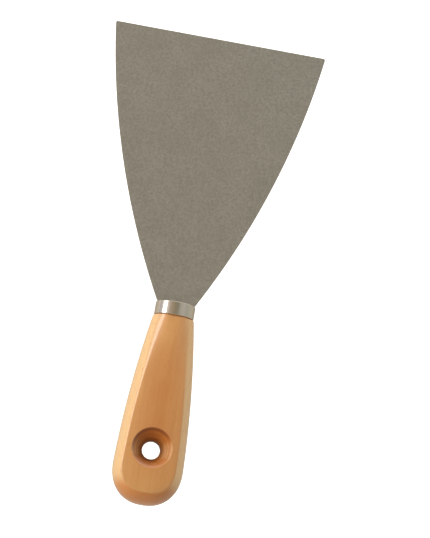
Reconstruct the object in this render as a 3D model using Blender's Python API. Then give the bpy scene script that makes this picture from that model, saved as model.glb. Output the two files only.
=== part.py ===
"""Flexible putty knife: a fan of spring steel, glued by its tang into a varnished beech handle.

The tool lies flat. +Y runs along it to the working edge, +X runs across the blade, +Z is the
thickness, and the origin is midway along the tool on the blade's middle plane. Run it with
blender --background --python part.py, or from Blender's text editor.
"""

import math

import bmesh
import bpy
from mathutils import Matrix, Vector

MM = 0.001

# The whole tool
LENGTH = 222 * MM
EDGE_Y = LENGTH / 2
BUTT_Y = -LENGTH / 2
FIT_GAP = 0.3 * MM

# Blade: a fan with bowed sides, ground thinner towards the edge
BLADE_WIDTH = 100 * MM
BLADE_SIDE_R = 377.5 * MM
BLADE_SIDE_LEAN = math.radians(7.53)
BLADE_CORNER_R = 1.0 * MM
BLADE_EDGE_T = 0.5 * MM
BLADE_ROOT_T = 1.0 * MM
NECK_WIDTH = 16.4 * MM
TANG_WIDTH = 10 * MM
TANG_LENGTH = 46 * MM
TANG_TIP_WIDTH = 7 * MM

# Ferrule: a drawn ring, pressed oval, with its front edge turned in
FERRULE_FRONT_Y = -17.5 * MM
FERRULE_LENGTH = 6.4 * MM
FERRULE_WIDTH = 18.4 * MM
FERRULE_DEPTH = 15.8 * MM
FERRULE_WALL = 0.5 * MM
FERRULE_LIP_R = 0.8 * MM
FERRULE_LIP = 0.5 * MM
FERRULE_LIP_LAND = 0.1 * MM

# Handle: flat-faced beech with bowed sides and a round butt
HANDLE_FRONT_WIDTH = 19.0 * MM
HANDLE_SIDE_R = 485.6 * MM
HANDLE_SIDE_MIDDLE_Y = -104.2 * MM
HANDLE_FRONT_DEPTH = 16.4 * MM
HANDLE_DEPTH = 20.4 * MM
HANDLE_DEEPEST_Y = -84 * MM
BUTT_START_Y = -93 * MM
BUTT_POWER = 2.26
ARRIS_INSET_FRONT = 4.4 * MM
ARRIS_INSET = 3.8 * MM
CROWN_FRONT = 1.5 * MM
CROWN = 0.7 * MM
SPIGOT_RECESS = 1.6 * MM

# Hang hole: drilled through and countersunk from both faces
HOLE_Y = -86.0 * MM
HOLE_R = 4.0 * MM
HOLE_STRAIGHT = 2.5 * MM
COUNTERSINK_R = 9.15 * MM

# Adhesive: the bed that fills the slot round the tang
BED_WALL = 0.6 * MM

# Meshing: points closer than WELD are one, and a cutter runs CUT_PAST beyond what it cuts
WELD = 0.001 * MM
CUT_PAST = 2 * MM
SHARP_DEGREES = 24

# Facets
SIDE_STEPS = 20
CORNER_STEPS = 4
RING_STEPS = 56
LIP_STEPS = 4
HANDLE_STEPS = 15
BUTT_STEPS = 14
FLANK_STEPS = 6
FACE_STEPS = 8
HOLE_STEPS = 56

FERRULE_REAR_Y = FERRULE_FRONT_Y - FERRULE_LENGTH
SHOULDER_Y = FERRULE_FRONT_Y + FIT_GAP
SPIGOT_Y = FERRULE_FRONT_Y - SPIGOT_RECESS
HANDLE_FRONT_Y = FERRULE_REAR_Y - FIT_GAP
TANG_START_Y = SPIGOT_Y + FIT_GAP
TANG_END_Y = TANG_START_Y - TANG_LENGTH


def clear_scene():
    for item in list(bpy.data.objects):
        bpy.data.objects.remove(item, do_unlink=True)


def new_collection(name):
    collection = bpy.data.collections.new(name)
    bpy.context.scene.collection.children.link(collection)
    return collection


def new_material(name, color, roughness, metallic):
    material = bpy.data.materials.new(name)
    material.use_nodes = True
    shader = material.node_tree.nodes["Principled BSDF"]
    shader.inputs["Base Color"].default_value = (*color, 1.0)
    shader.inputs["Roughness"].default_value = roughness
    shader.inputs["Metallic"].default_value = metallic
    return material


def new_object(name, mesh, collection, material=None):
    item = bpy.data.objects.new(name, mesh)
    collection.objects.link(item)
    if material:
        mesh.materials.append(material)
    return item


def mesh_from(bm, name):
    """Write a bmesh to a mesh, smooth but for its sharp edges."""
    bmesh.ops.recalc_face_normals(bm, faces=bm.faces)
    mesh = bpy.data.meshes.new(name)
    bm.to_mesh(mesh)
    bm.free()
    mesh.shade_smooth()
    mesh.set_sharp_from_angle(angle=math.radians(SHARP_DEGREES))
    return mesh


def arc(centre, radius, start, end, steps):
    """Points on a circle in the XY plane, both ends included."""
    turns = [start + (end - start) * i / steps for i in range(steps + 1)]
    return [
        (centre[0] + radius * math.cos(turn), centre[1] + radius * math.sin(turn))
        for turn in turns
    ]


def plate(name, outline, thickness, collection):
    """A flat outline as a filled 2D curve, given its thickness and made a closed mesh."""
    curve = bpy.data.curves.new(name + "_outline", "CURVE")
    curve.dimensions = "2D"
    curve.fill_mode = "BOTH"
    curve.extrude = thickness / 2
    spline = curve.splines.new("POLY")
    spline.points.add(len(outline) - 1)
    for point, (x, y) in zip(spline.points, outline):
        point.co = (x, y, 0.0, 1.0)
    spline.use_cyclic_u = True
    guide = new_object(name + "_outline", curve, collection)
    shape = guide.evaluated_get(bpy.context.evaluated_depsgraph_get())
    mesh = bpy.data.meshes.new_from_object(shape)
    mesh.name = name
    bpy.data.objects.remove(guide, do_unlink=True)
    bm = bmesh.new()
    bm.from_mesh(mesh)
    bmesh.ops.remove_doubles(bm, verts=bm.verts, dist=WELD)
    bm.to_mesh(mesh)
    bm.free()
    return mesh


def turned(name, profile, steps):
    """A closed profile of (radius, height) points spun about the Z axis."""
    bm = bmesh.new()
    ring = [bm.verts.new((radius, 0.0, height)) for radius, height in profile]
    edges = [bm.edges.new((ring[i - 1], ring[i])) for i in range(len(ring))]
    bmesh.ops.spin(
        bm,
        geom=ring + edges,
        axis=(0, 0, 1),
        cent=(0, 0, 0),
        angle=math.tau,
        steps=steps,
        use_merge=True,
    )
    bmesh.ops.remove_doubles(bm, verts=bm.verts, dist=WELD)
    return mesh_from(bm, name)


def cut(target, cutter):
    """Take the cutter's shape out of the target, and keep the cutter as a hidden guide."""
    cutter.hide_render = True
    cutter.display_type = "WIRE"
    change = target.modifiers.new("cut_" + cutter.name, "BOOLEAN")
    change.operation = "DIFFERENCE"
    change.solver = "EXACT"
    change.object = cutter


def box_cutter(name, low, high, collection):
    bm = bmesh.new()
    bmesh.ops.create_cube(bm, size=1.0)
    size = Vector(high) - Vector(low)
    middle = (Vector(high) + Vector(low)) / 2
    bmesh.ops.transform(
        bm, matrix=Matrix.Translation(middle) @ Matrix.Diagonal((*size, 1.0)), verts=bm.verts
    )
    return new_object(name, mesh_from(bm, name), collection)


# ---------------------------------------------------------------- blade


def blade_side():
    """The right side from the edge corner to the tang's tip, top to bottom."""
    middle_x = BLADE_WIDTH / 2 - BLADE_SIDE_R * math.cos(BLADE_SIDE_LEAN)
    middle_y = EDGE_Y + BLADE_SIDE_R * math.sin(BLADE_SIDE_LEAN)
    reach = BLADE_SIDE_R - BLADE_CORNER_R
    touch = math.asin((EDGE_Y - BLADE_CORNER_R - middle_y) / reach)
    neck = math.asin((SHOULDER_Y - middle_y) / BLADE_SIDE_R)
    corner = (middle_x + reach * math.cos(touch), EDGE_Y - BLADE_CORNER_R)
    side = arc(corner, BLADE_CORNER_R, math.pi / 2, touch, CORNER_STEPS)
    side += arc((middle_x, middle_y), BLADE_SIDE_R, touch, neck, SIDE_STEPS)[1:]
    side += [
        (NECK_WIDTH / 2, SHOULDER_Y),
        (NECK_WIDTH / 2, TANG_START_Y),
        (TANG_WIDTH / 2, TANG_START_Y),
        (TANG_TIP_WIDTH / 2, TANG_END_Y),
    ]
    return side


def blade_half_thickness(y):
    """Full thickness along the tang and neck, then a straight taper to the edge."""
    ground = max(0.0, (y - SHOULDER_Y) / (EDGE_Y - SHOULDER_Y))
    return (BLADE_ROOT_T + (BLADE_EDGE_T - BLADE_ROOT_T) * ground) / 2


def make_blade(parts):
    side = blade_side()
    outline = side + [(-x, y) for x, y in reversed(side)]
    mesh = plate("blade", outline, BLADE_ROOT_T, parts)
    bm = bmesh.new()
    bm.from_mesh(mesh)
    bmesh.ops.bisect_plane(
        bm,
        geom=bm.verts[:] + bm.edges[:] + bm.faces[:],
        dist=WELD,
        plane_co=(0, SHOULDER_Y, 0),
        plane_no=(0, 1, 0),
    )
    for vert in bm.verts:
        vert.co.z = math.copysign(blade_half_thickness(vert.co.y), vert.co.z)
    bmesh.ops.recalc_face_normals(bm, faces=bm.faces)
    bm.to_mesh(mesh)
    bm.free()
    steel = new_material("spring_steel", (0.25, 0.23, 0.20), 0.35, 1.0)
    return new_object("blade", mesh, parts, steel)


# ---------------------------------------------------------------- ferrule


def make_ferrule(parts):
    """A ring turned as a round one along +Z, then pressed oval and laid along the tool."""
    radius = FERRULE_WIDTH / 2
    inner = radius - FERRULE_WALL
    lip_middle = (radius - FERRULE_LIP_R, -FERRULE_LIP_R)
    profile = [(radius, -FERRULE_LENGTH)]
    profile += arc(lip_middle, FERRULE_LIP_R, 0.0, math.pi / 2, LIP_STEPS)
    profile += [
        (radius - FERRULE_LIP_R - FERRULE_LIP_LAND, -FERRULE_LIP),
        (inner, -FERRULE_LIP - FERRULE_LIP_R),
        (inner, -FERRULE_LENGTH),
    ]
    mesh = turned("ferrule", profile, RING_STEPS)
    pressed = Matrix.Diagonal((1.0, FERRULE_DEPTH / FERRULE_WIDTH, 1.0, 1.0))
    along = Matrix.Rotation(-math.pi / 2, 4, "X")
    place = Matrix.Translation((0, FERRULE_FRONT_Y, 0))
    mesh.transform(place @ along @ pressed)
    plating = new_material("nickel_plate", (0.62, 0.61, 0.58), 0.15, 1.0)
    return new_object("ferrule", mesh, parts, plating)


# ---------------------------------------------------------------- handle


def side_arc_x(y):
    """Half the handle's width on its bowed side."""
    bow = math.sqrt(HANDLE_SIDE_R**2 - (y - HANDLE_SIDE_MIDDLE_Y) ** 2)
    front = math.sqrt(HANDLE_SIDE_R**2 - (HANDLE_FRONT_Y - HANDLE_SIDE_MIDDLE_Y) ** 2)
    return HANDLE_FRONT_WIDTH / 2 + bow - front


def outline_point(t):
    """The right side of the plan: t runs 0 to 1 along the side, and 1 to 2 round the butt."""
    if t <= 1.0:
        y = HANDLE_FRONT_Y + (BUTT_START_Y - HANDLE_FRONT_Y) * t
        return Vector((side_arc_x(y), y))
    turn = min(t - 1.0, 1.0) * math.pi / 2
    y = BUTT_START_Y + (BUTT_Y - BUTT_START_Y) * math.sin(turn) ** (2 / BUTT_POWER)
    taper = max(0.0, math.cos(turn)) ** (2 / BUTT_POWER)
    return Vector((side_arc_x(y) * taper, y))


def inward(t):
    """The direction into the plan from the outline, square to it."""
    if t >= 2.0:
        return Vector((0.0, 1.0))
    if t <= 0.0:
        return Vector((-1.0, 0.0))
    step = 0.001
    along = outline_point(min(t + step, 2.0)) - outline_point(t - step)
    return Vector((along.y, -along.x)).normalized()


def along_handle(y):
    """0 at the ferrule and 1 at the deepest place and beyond, easing off as it gets there."""
    reach = (HANDLE_FRONT_Y - y) / (HANDLE_FRONT_Y - HANDLE_DEEPEST_Y)
    return 1.0 - (1.0 - min(max(reach, 0.0), 1.0)) ** 2


def mix(a, b, share):
    return a + (b - a) * share


def flank_section(depth, crown, inset):
    """(inset, height) points of the flank arc, from the middle plane up to the arris."""
    height = depth / 2 - crown
    radius = (inset**2 + height**2) / (2 * inset)
    top = math.asin(min(1.0, height / radius))
    turns = [top * i / FLANK_STEPS for i in range(FLANK_STEPS + 1)]
    return [(radius - radius * math.cos(turn), radius * math.sin(turn)) for turn in turns]


def handle_ring(t):
    """One closed section of the handle: both flanks, the top face and the bottom face."""
    point = outline_point(t)
    across = inward(t)
    share = along_handle(point.y)
    depth = mix(HANDLE_FRONT_DEPTH, HANDLE_DEPTH, share)
    crown = mix(CROWN_FRONT, CROWN, share)
    inset = mix(ARRIS_INSET_FRONT, ARRIS_INSET, share)
    flank = []
    for step_in, height in flank_section(depth, crown, inset):
        place = point + across * step_in
        flank.append(Vector((max(0.0, place.x), place.y, height)))
    arris = flank[-1]
    fullness = min(1.0, arris.x / (HANDLE_FRONT_WIDTH / 2 - ARRIS_INSET_FRONT))
    face = []
    for i in range(1, FACE_STEPS):
        x = arris.x * (1.0 - 2.0 * i / FACE_STEPS)
        rise = crown * fullness * (1.0 - (1.0 - 2.0 * i / FACE_STEPS) ** 2)
        face.append(Vector((x, arris.y, arris.z + rise)))
    left = [Vector((-p.x, p.y, p.z)) for p in reversed(flank)]
    top = flank + face + left
    bottom = [Vector((p.x, p.y, -p.z)) for p in reversed(top[1:-1])]
    return top + bottom


def spigot_ring(y):
    """The turned-down front, an oval that slides into the ferrule."""
    half_width = FERRULE_WIDTH / 2 - FERRULE_WALL - FIT_GAP
    half_depth = half_width * FERRULE_DEPTH / FERRULE_WIDTH
    return [
        Vector((half_width * d.x, y, half_depth * d.y))
        for d in (Vector((p.x, p.z)).normalized() for p in handle_ring(0.0))
    ]


def make_handle(parts, cutters):
    rings = [spigot_ring(SPIGOT_Y), spigot_ring(HANDLE_FRONT_Y)]
    rings += [handle_ring(i / HANDLE_STEPS) for i in range(HANDLE_STEPS)]
    rings += [handle_ring(1.0 + i / BUTT_STEPS) for i in range(BUTT_STEPS + 1)]
    bm = bmesh.new()
    rows = [[bm.verts.new(point) for point in ring] for ring in rings]
    count = len(rows[0])
    for row, after in zip(rows, rows[1:]):
        for i in range(count):
            j = (i + 1) % count
            bm.faces.new((row[i], row[j], after[j], after[i]))
    bm.faces.new(rows[0])
    bmesh.ops.remove_doubles(bm, verts=bm.verts, dist=2 * WELD)
    beech = new_material("varnished_beech", (0.58, 0.28, 0.09), 0.22, 0.0)
    handle = new_object("handle", mesh_from(bm, "handle"), parts, beech)

    slot_half = Vector((TANG_WIDTH / 2, 0, BLADE_ROOT_T / 2))
    slot_half += Vector((BED_WALL + 2 * FIT_GAP, 0, BED_WALL + 2 * FIT_GAP))
    slot_end = TANG_END_Y - BED_WALL - 2 * FIT_GAP
    low = (-slot_half.x, slot_end, -slot_half.z)
    high = (slot_half.x, SPIGOT_Y + CUT_PAST, slot_half.z)
    cut(handle, box_cutter("tang_slot", low, high, cutters))

    face = HANDLE_DEPTH / 2
    slope = (COUNTERSINK_R - HOLE_R) / (face - HOLE_STRAIGHT / 2)
    wide = COUNTERSINK_R + slope * CUT_PAST
    profile = [
        (0.0, face + CUT_PAST),
        (0.0, -face - CUT_PAST),
        (wide, -face - CUT_PAST),
        (HOLE_R, -HOLE_STRAIGHT / 2),
        (HOLE_R, HOLE_STRAIGHT / 2),
        (wide, face + CUT_PAST),
    ]
    drill = new_object("hang_hole", turned("hang_hole", profile, HOLE_STEPS), cutters)
    drill.location = (0, HOLE_Y, 0)
    cut(handle, drill)
    return handle


# ---------------------------------------------------------------- adhesive


def make_adhesive(parts, cutters):
    """A set bed of glue, open at the front where the tang goes in."""
    room = Vector((TANG_WIDTH / 2 + FIT_GAP, 0, BLADE_ROOT_T / 2 + FIT_GAP))
    front = SPIGOT_Y - FIT_GAP
    inner_end = TANG_END_Y - FIT_GAP
    low = (-room.x - BED_WALL, inner_end - BED_WALL, -room.z - BED_WALL)
    high = (room.x + BED_WALL, front, room.z + BED_WALL)
    bed = box_cutter("tang_adhesive", low, high, parts)
    bed.data.materials.append(new_material("epoxy", (0.55, 0.42, 0.22), 0.5, 0.0))
    low = (-room.x, inner_end, -room.z)
    high = (room.x, front + CUT_PAST, room.z)
    cut(bed, box_cutter("tang_room", low, high, cutters))
    return bed


def main():
    clear_scene()
    parts = new_collection("flexible_putty_knife")
    cutters = new_collection("cutters")
    make_blade(parts)
    make_ferrule(parts)
    make_handle(parts, cutters)
    make_adhesive(parts, cutters)


main()
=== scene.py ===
"""A flexible putty knife over a white table: steel blade, nickel ferrule, varnished beech handle."""

import math

import bmesh
import bpy
import numpy as np
from mathutils import Matrix, Vector


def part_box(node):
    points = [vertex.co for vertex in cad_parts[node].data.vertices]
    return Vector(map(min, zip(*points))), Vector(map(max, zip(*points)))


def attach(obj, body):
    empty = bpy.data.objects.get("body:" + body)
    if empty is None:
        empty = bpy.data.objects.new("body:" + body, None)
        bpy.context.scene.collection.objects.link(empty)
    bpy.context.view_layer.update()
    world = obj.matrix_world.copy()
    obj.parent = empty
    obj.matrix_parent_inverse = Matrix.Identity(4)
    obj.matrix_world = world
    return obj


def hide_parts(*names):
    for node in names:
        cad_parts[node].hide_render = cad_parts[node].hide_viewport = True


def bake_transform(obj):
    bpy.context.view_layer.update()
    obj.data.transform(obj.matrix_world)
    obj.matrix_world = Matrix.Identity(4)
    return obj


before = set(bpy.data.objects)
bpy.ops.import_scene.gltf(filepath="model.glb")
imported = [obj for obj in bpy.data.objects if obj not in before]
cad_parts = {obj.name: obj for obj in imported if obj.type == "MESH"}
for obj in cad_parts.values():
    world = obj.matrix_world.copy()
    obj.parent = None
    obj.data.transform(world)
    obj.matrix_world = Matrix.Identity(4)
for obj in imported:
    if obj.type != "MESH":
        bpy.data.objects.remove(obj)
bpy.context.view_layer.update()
MM = 0.001
# Points closer than this are welded into one
WELD = 0.002 * MM

# Places read from the frame
BLADE_LOW, BLADE_HIGH = (Vector(corner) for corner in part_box("blade"))
RING_LOW, RING_HIGH = (Vector(corner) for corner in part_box("ferrule"))
WOOD_LOW, WOOD_HIGH = (Vector(corner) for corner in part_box("handle"))

# Blade
EDGE_Y = BLADE_HIGH.y
TANG_END_Y = BLADE_LOW.y
EDGE_WIDTH = 100 * MM
SIDE_R = 377.5 * MM
SIDE_LEAN = math.radians(7.53)
EDGE_CORNER_R = 1.0 * MM
EDGE_THICKNESS = 0.5 * MM
ROOT_THICKNESS = BLADE_HIGH.z - BLADE_LOW.z
BROKEN_EDGE = 0.08 * MM
# The unit bar that becomes the blade: its faces lie above this height, and its rows crowd by this share
FACE_ABOVE = 0.4
ROW_CROWDING = 0.9
NECK_WIDTH = 16.4 * MM
TANG_WIDTH = 10 * MM
TANG_TIP_WIDTH = 7 * MM
# The tang starts inside the neck, a little thinner than it, so that the two join cleanly
TANG_OVERLAP = 0.5 * MM
TANG_THINNING = 0.96

# Ferrule
RING_FRONT_Y = RING_HIGH.y
RING_REAR_Y = RING_LOW.y
RING_WIDTH = RING_HIGH.x - RING_LOW.x
RING_DEPTH = RING_HIGH.z - RING_LOW.z
RING_WALL = 0.5 * MM
RING_EDGE_R = 0.16 * MM
RING_LIP_R = 0.8 * MM

# Handle
FIT_GAP = 0.3 * MM
SHOULDER_Y = RING_FRONT_Y + FIT_GAP
SPIGOT_Y = WOOD_HIGH.y
TANG_START_Y = SPIGOT_Y + FIT_GAP
BUTT_Y = WOOD_LOW.y
WOOD_FRONT_Y = RING_REAR_Y - FIT_GAP
WOOD_FRONT_WIDTH = 19.0 * MM
WOOD_FRONT_DEPTH = 16.4 * MM
WOOD_DEPTH = WOOD_HIGH.z - WOOD_LOW.z
WOOD_DEEPEST_Y = -84 * MM
WOOD_SIDE_R = 485.6 * MM
WOOD_SIDE_MIDDLE_Y = -104.2 * MM
BUTT_START_Y = -93 * MM
BUTT_POWER = 2.26
ARRIS_INSET_FRONT = 4.4 * MM
ARRIS_INSET = 3.8 * MM
ARRIS_SOFTNESS_FRONT = 1.0 * MM
ARRIS_SOFTNESS = 0.4 * MM
CROWN_FRONT = 1.5 * MM
CROWN = 0.7 * MM
FRONT_BREAK = 0.25 * MM
# Shares of the front's width and depth that its broken edge takes off
FRONT_BREAK_WIDE = 1 / 36
FRONT_BREAK_DEEP = 1 / 32
# The least half width that a crown is drawn over, and the most that it falls, in crown heights
NARROW_FACE = 0.5 * MM
CROWN_DROP = 3.0
# Room for glue round the tang, and how far a cutting shape starts outside the wood
SLOT_ROOM = 1.2 * MM
CUT_START = 2 * MM
# Where the painted shade along the middle of the face fades in from each end, and its half width
MIDDLE_SHADE_FRONT_Y = (-24 * MM, -62 * MM)
MIDDLE_SHADE_BUTT_Y = (-106 * MM, -78 * MM)
MIDDLE_SHADE_HALF = 11 * MM
# Loops along the side and round the butt, steps over a flank and across a face
SIDE_LOOPS = 96
BUTT_LOOPS = 56
OUTLINE_STEPS = 400
FLANK_STEPS = 24
FACE_STEPS = 56

# Hang hole
HOLE_Y = -86 * MM
HOLE_R = 4.0 * MM
HOLE_STRAIGHT = 2.5 * MM
THROAT_R = 4.9 * MM
THROAT_HEIGHT = 2.6 * MM
COUNTERSINK_R = 9.15 * MM
# The hole is straight for this share of its length, then widens by this, and bends out to the throat
# through one point, given as shares of the way out and up
HOLE_EVEN = 0.6
HOLE_WIDENING = 0.05 * MM
THROAT_BEND_OUT = 0.4
THROAT_BEND_UP = 0.55
# The rounded rim runs out onto the face at this slope and for this far
RIM_R = 0.3 * MM
RIM_STEPS = 10
RIM_SLOPE = math.radians(8)
RIM_RUNOUT = 1.4 * MM
DISH = 0.35 * MM
DISH_STEPS = 14
CUTTER_ABOVE = 3 * MM
CUTTER_TURNS = 144
CUTTER_MARKS = 1.1 * MM
# Where the scorch and painted shade in the throat, the reamed colour and the painted shadow on the rim
# start and end, by distance from the axis
SCORCH_AND_SHADE_FULL_R = THROAT_R - 0.1 * MM
SCORCH_AND_SHADE_END_R = THROAT_R + 0.9 * MM
REAMED_FULL_R = COUNTERSINK_R - 0.6 * MM
REAMED_END_R = COUNTERSINK_R + 0.2 * MM
# Painted shadow inside the rim: where it lies, its core, its reach and its side
RIM_SHADOW_R = COUNTERSINK_R - 0.5 * MM
RIM_SHADOW_CORE = 0.1 * MM
RIM_SHADOW_REACH = 0.7 * MM
RIM_SHADOW_SIDE = (-0.4, 0.9, 0.0)

# Camera
CAMERA_DISTANCE = 1.1
CAMERA_NEAR = 0.05
CAMERA_FAR = 20.0
CAMERA_LENS = 160.3
CAMERA_TARGET = Vector((15.0 * MM, 1.95 * MM, 0.0))
CAMERA_PITCH = math.radians(13.0)
CAMERA_ROLL = math.radians(3.0)
CAMERA_TURN = math.radians(9.52)

# Studio: each wall is (degrees over from straight up, towards +X; colour)
ROOM_WALLS = (
    (-180, "#e6e5e2"),
    (-100, "#e2dfdc"),
    (-86, "#d5d1d6"),
    (-76, "#dad6df"),
    (-68, "#f6f5f4"),
    (-40, "#f8f4f2"),
    (-32, "#d5cbc2"),
    (-26, "#c4b5a7"),
    (-14, "#b6a792"),
    (0, "#a19783"),
    (13, "#9c9889"),
    (26, "#c0bdb5"),
    (44, "#cac8c4"),
    (68, "#babab0"),
    (90, "#ced1c4"),
    (110, "#d4ded6"),
    (180, "#e6e5e2"),
)
# Soft boxes: name, degrees over and along, distance, size, watts, and whether reflections show it.
# Only the window does: the rest stay out of the metal, which would turn white from some sides.
LAMPS = (
    ("window_left", -54, 13, 0.9, (0.6, 0.3), 2.7, True),
    ("behind_window", -54, 20, 0.95, (0.9, 0.38), 5.2, False),
    ("fill_right", 74, 50, 1.2, (0.9, 1.0), 16.0, False),
    ("fill_left", -76, 50, 1.2, (0.8, 0.8), 8.0, False),
    ("fill_near", -62, -40, 1.2, (0.8, 0.8), 6.0, False),
)
LAMP_COLOR = "#fffbf6"
FAR_WALL = "#d8d5ce"
NEAR_WALL = "#dccdb6"
TABLE_COLOR = "#bcbab5"
TABLE_SIZE = 20.0
TABLE_Z = -42 * MM

# Socket numbers of a Mix node that mixes colours
MIX_A, MIX_B, MIX_OUT = 6, 7, 2


# ---------------------------------------------------------------- small tools


def add(tree, kind, inputs=None, **settings):
    """Add a node with its settings, and set or link its inputs."""
    made = tree.nodes.new(kind)
    for name, value in settings.items():
        setattr(made, name, value)
    for key, value in (inputs or {}).items():
        if isinstance(value, bpy.types.NodeSocket):
            tree.links.new(value, made.inputs[key])
        else:
            made.inputs[key].default_value = value
    return made


def shade(code):
    """An sRGB hex colour as linear RGBA."""
    values = [int(code[i : i + 2], 16) / 255 for i in (1, 3, 5)]
    linear = [v / 12.92 if v <= 0.04045 else ((v + 0.055) / 1.055) ** 2.4 for v in values]
    return (*linear, 1.0)


def show(name, mesh):
    """Put a mesh into the scene as a piece of its own."""
    piece = bpy.data.objects.new(name, mesh)
    bpy.context.scene.collection.objects.link(piece)
    return piece


def settle(piece):
    """Turn a piece and its modifiers into one plain mesh."""
    graph = bpy.context.evaluated_depsgraph_get()
    mesh = bpy.data.meshes.new_from_object(piece.evaluated_get(graph))
    piece.modifiers.clear()
    piece.data = mesh


def combine(piece, other, operation):
    """Join another solid to a piece, or cut it away, and drop the other one."""
    change = piece.modifiers.new(operation.lower(), "BOOLEAN")
    change.operation = operation
    change.solver = "EXACT"
    change.object = other
    settle(piece)
    bpy.data.objects.remove(other, do_unlink=True)


def mix(a, b, share):
    """The value that lies this share of the way from a to b."""
    return a + (b - a) * share


def finish_surface(piece, material, sharp_degrees):
    """Dress a piece in one material, and keep only its real corners sharp."""
    piece.data.materials.clear()
    piece.data.materials.append(material)
    piece.data.shade_smooth()
    piece.data.set_sharp_from_angle(angle=math.radians(sharp_degrees))


def closed_mesh(name, points, faces):
    """A mesh with its seams welded and its faces turned outwards."""
    mesh = bpy.data.meshes.new(name)
    mesh.from_pydata([tuple(point) for point in points], [], faces)
    bm = bmesh.new()
    bm.from_mesh(mesh)
    bmesh.ops.remove_doubles(bm, verts=bm.verts, dist=WELD)
    bmesh.ops.recalc_face_normals(bm, faces=bm.faces)
    bm.to_mesh(mesh)
    bm.free()
    return mesh


def tapered_block(name, start, end, depth):
    """A flat bar along Y, from (y, half width) at its start to the same at its end."""
    points = [
        (side * half, y, face * depth / 2)
        for y, half in (start, end)
        for side in (-1, 1)
        for face in (-1, 1)
    ]
    faces = [(0, 1, 3, 2), (4, 6, 7, 5), (0, 4, 5, 1), (2, 3, 7, 6), (0, 2, 6, 4), (1, 5, 7, 3)]
    return show(name, closed_mesh(name, points, faces))


def arc(centre, radius, start, end, steps):
    """Points along part of a circle, from one angle to another."""
    turns = [start + (end - start) * i / steps for i in range(steps + 1)]
    return [(centre[0] + radius * math.cos(a), centre[1] + radius * math.sin(a)) for a in turns]


def new_growth(name, sizes):
    """A geometry tree with one number input for each size, and a material input."""
    tree = bpy.data.node_groups.new(name, "GeometryNodeTree")
    tree.interface.new_socket(name="Geometry", in_out="OUTPUT", socket_type="NodeSocketGeometry")
    for size in sizes:
        tree.interface.new_socket(name=size, in_out="INPUT", socket_type="NodeSocketFloat")
    tree.interface.new_socket(name="Material", in_out="INPUT", socket_type="NodeSocketMaterial")
    return tree, add(tree, "NodeGroupInput").outputs


def close_growth(tree, geometry, material):
    """End a geometry tree with a real mesh in the given material."""
    real = add(tree, "GeometryNodeRealizeInstances", {"Geometry": geometry})
    dressed = add(
        tree, "GeometryNodeSetMaterial", {"Geometry": real.outputs[0], "Material": material}
    )
    add(tree, "NodeGroupOutput", {"Geometry": dressed.outputs[0]})


def grow(name, tree, sizes, material):
    """Run a geometry tree with its named sizes, and keep the plain mesh that it makes."""
    piece = show(name, bpy.data.meshes.new(name))
    change = piece.modifiers.new("grow", "NODES")
    change.node_group = tree
    for item in tree.interface.items_tree:
        if item.in_out == "INPUT":
            change[item.identifier] = material if item.name == "Material" else sizes[item.name]
    settle(piece)
    return piece


# ---------------------------------------------------------------- materials


def new_material(name):
    """A new material, with its tree and its shader."""
    material = bpy.data.materials.new(name)
    material.use_nodes = True
    return material, material.node_tree, material.node_tree.nodes["Principled BSDF"]


def ground_spring_steel():
    """Spring steel, ground and satin polished along its length: a soft grey mirror."""
    material, tree, shader = new_material("ground_spring_steel")
    place = add(tree, "ShaderNodeTexCoord").outputs["Object"]
    # Polishing lines 0.6 mm apart and 50 mm long: the real ones are too fine to show
    stretched = add(tree, "ShaderNodeMapping", {"Vector": place, "Scale": (1600, 20, 1600)})
    lines = add(
        tree, "ShaderNodeTexNoise", {"Vector": stretched.outputs[0], "Scale": 1.0, "Detail": 4.0}
    ).outputs[0]
    # Dull patches left by oil and handling, 12 mm across
    patches = add(
        tree, "ShaderNodeTexNoise", {"Vector": place, "Scale": 80.0, "Detail": 5.0}
    ).outputs[0]
    # Grit marks that give the satin its mottle: 1 mm across, because real ones are too fine
    grit = add(
        tree, "ShaderNodeTexNoise", {"Vector": place, "Scale": 1000.0, "Detail": 2.0}
    ).outputs[0]
    mottle = add(
        tree, "ShaderNodeMapRange", {"Value": grit, "From Min": 0.3, "From Max": 0.7}
    ).outputs[0]
    tone = add(
        tree,
        "ShaderNodeMix",
        {0: patches, MIX_A: shade("#cbccc9"), MIX_B: shade("#d9d8d6")},
        data_type="RGBA",
    ).outputs[MIX_OUT]
    worn = add(
        tree,
        "ShaderNodeMix",
        {0: mottle, MIX_A: tone, MIX_B: shade("#bcbbb9")},
        data_type="RGBA",
    ).outputs[MIX_OUT]
    both = add(tree, "ShaderNodeMath", {0: lines, 1: patches}, operation="ADD").outputs[0]
    dull = add(
        tree,
        "ShaderNodeMapRange",
        {"Value": both, "From Min": 0.6, "From Max": 1.4, "To Min": 0.3, "To Max": 0.37},
    ).outputs[0]
    relief = add(
        tree, "ShaderNodeBump", {"Height": lines, "Strength": 0.06, "Distance": 0.02 * MM}
    ).outputs[0]
    tree.links.new(worn, shader.inputs["Base Color"])
    tree.links.new(dull, shader.inputs["Roughness"])
    tree.links.new(relief, shader.inputs["Normal"])
    shader.inputs["Metallic"].default_value = 1.0
    return material


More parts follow.
